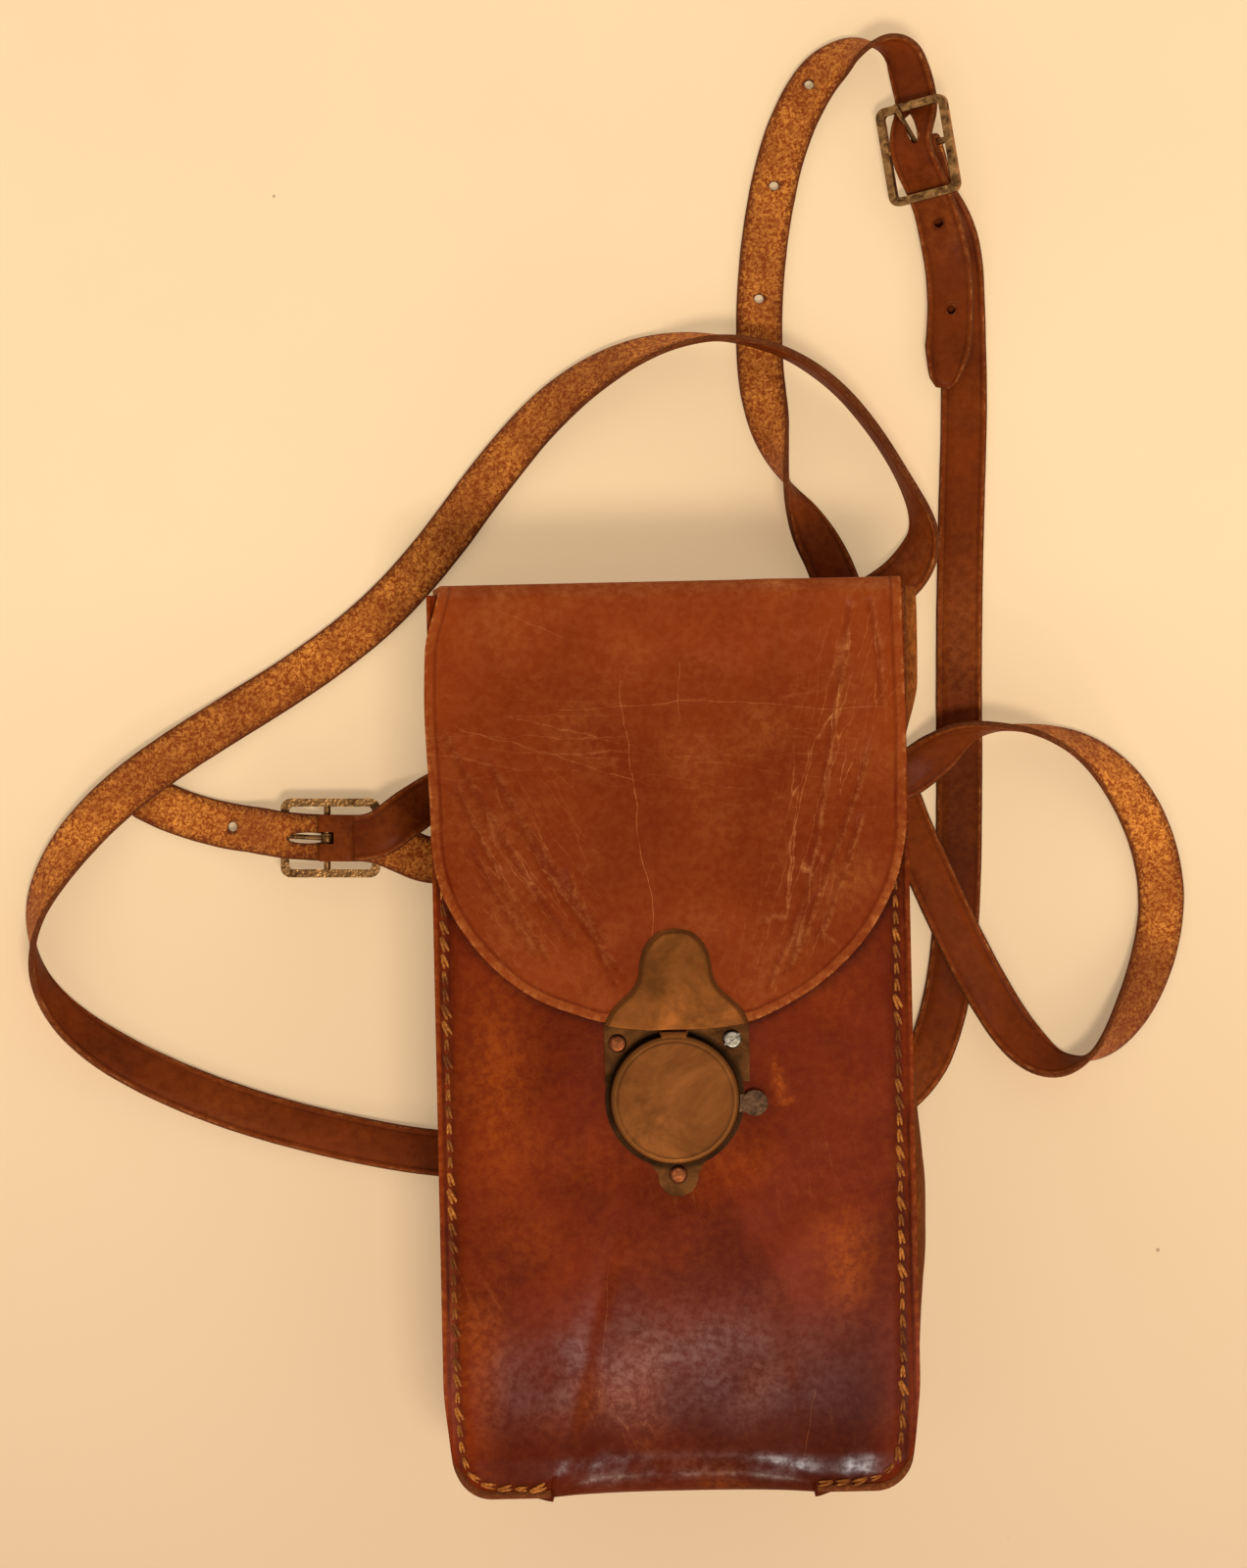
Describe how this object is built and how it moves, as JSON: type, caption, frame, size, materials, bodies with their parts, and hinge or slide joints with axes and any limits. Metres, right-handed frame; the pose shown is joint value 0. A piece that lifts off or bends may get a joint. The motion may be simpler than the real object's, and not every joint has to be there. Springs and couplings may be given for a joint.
{
  "type": "camera case",
  "caption": "Flat upright leather camera case with a folded flap, a bell-shaped hasp over a sliding catch, and a long buckled shoulder strap laid round it.",
  "frame": {"origin": "under the middle of the case, on the surface that its back lies on", "axes": "+Z out of the case's front, +Y towards its mouth, +X to its right"},
  "size_m": [0.3458, 0.4227, 0.0678],
  "materials": {
    "case_leather": "glossy, worn",
    "flap_leather": "glossy, creased",
    "strap_leather": "satin, worn",
    "board": "matt",
    "thread": "waxed",
    "brass": "tarnished",
    "buckle_brass": "pitted",
    "tarnished_steel": "dull",
    "bright_steel": "polished"
  },
  "bodies": {
    "case": {"body_wrap": "case_leather", "left_gusset": "case_leather", "right_gusset": "case_leather", "bottom_board": "board", "front_seam_stitches": "thread", "back_seam_stitches": "thread", "back_keeper_upper_right": "strap_leather", "back_keeper_upper_left": "strap_leather", "back_keeper_lower_right": "strap_leather", "back_keeper_lower_left": "strap_leather", "keeper_stitches": "thread", "latch_base_plate": "brass", "latch_cup": "brass", "bolt_guides": "tarnished_steel", "latch_spring": "tarnished_steel", "latch_rivets": "brass", "latch_screw": "bright_steel", "latch_screw_nut": "bright_steel", "latch_washers": "tarnished_steel", "strap_1": "strap_leather", "strap_1_fold_left": "strap_leather", "strap_1_fold_top": "strap_leather", "strap_2": "strap_leather", "buckle_1_frame": "buckle_brass", "buckle_2_frame": "buckle_brass"},
    "flap_top_body": {"flap_top": "flap_leather"},
    "flap_front_body": {"flap_front": "flap_leather", "hasp_plate": "brass", "hasp_studs": "brass", "hasp_backing_plate": "tarnished_steel"},
    "tab_body": {"latch_tab": "tarnished_steel"},
    "bolt_body": {"latch_bolt": "tarnished_steel"},
    "prong_1_body": {"buckle_1_prong": "buckle_brass"},
    "prong_2_body": {"buckle_2_prong": "buckle_brass"}
  },
  "joints": [
    {"name": "flap_hinge", "type": "hinge", "parent": "case", "child": "flap_top_body", "pos_m": [0, 0.1278, 0.0068], "axis": [-1, 0, 0], "range_deg": [0, 60]},
    {"name": "flap_fold", "type": "hinge", "parent": "flap_top_body", "child": "flap_front_body", "pos_m": [0, 0.1278, 0.0647], "axis": [-1, 0, 0], "range_deg": [0, 90]},
    {"name": "latch_tab_slide", "type": "slide", "parent": "case", "child": "tab_body", "axis": [-1, 0, 0], "range_m": [0, 0.003]},
    {"name": "latch_bolt_slide", "type": "slide", "parent": "case", "child": "bolt_body", "axis": [0, 1, 0], "range_m": [0, 0.0024]},
    {"name": "buckle_1_prong_hinge", "type": "hinge", "parent": "case", "child": "prong_1_body", "pos_m": [-0.1009, 0.0581, 0.0068], "axis": [-0.0218, -0.9998, 0], "range_deg": [0, 10]},
    {"name": "buckle_2_prong_hinge", "type": "hinge", "parent": "case", "child": "prong_2_body", "pos_m": [0.0783, 0.2585, 0.0105], "axis": [0.8394, 0.121, 0.5299], "range_deg": [0, 10]}
  ],
  "couplings": [
    {"joint": "latch_bolt_slide", "follows": "latch_tab_slide", "ratio": 0.8}
  ]
}
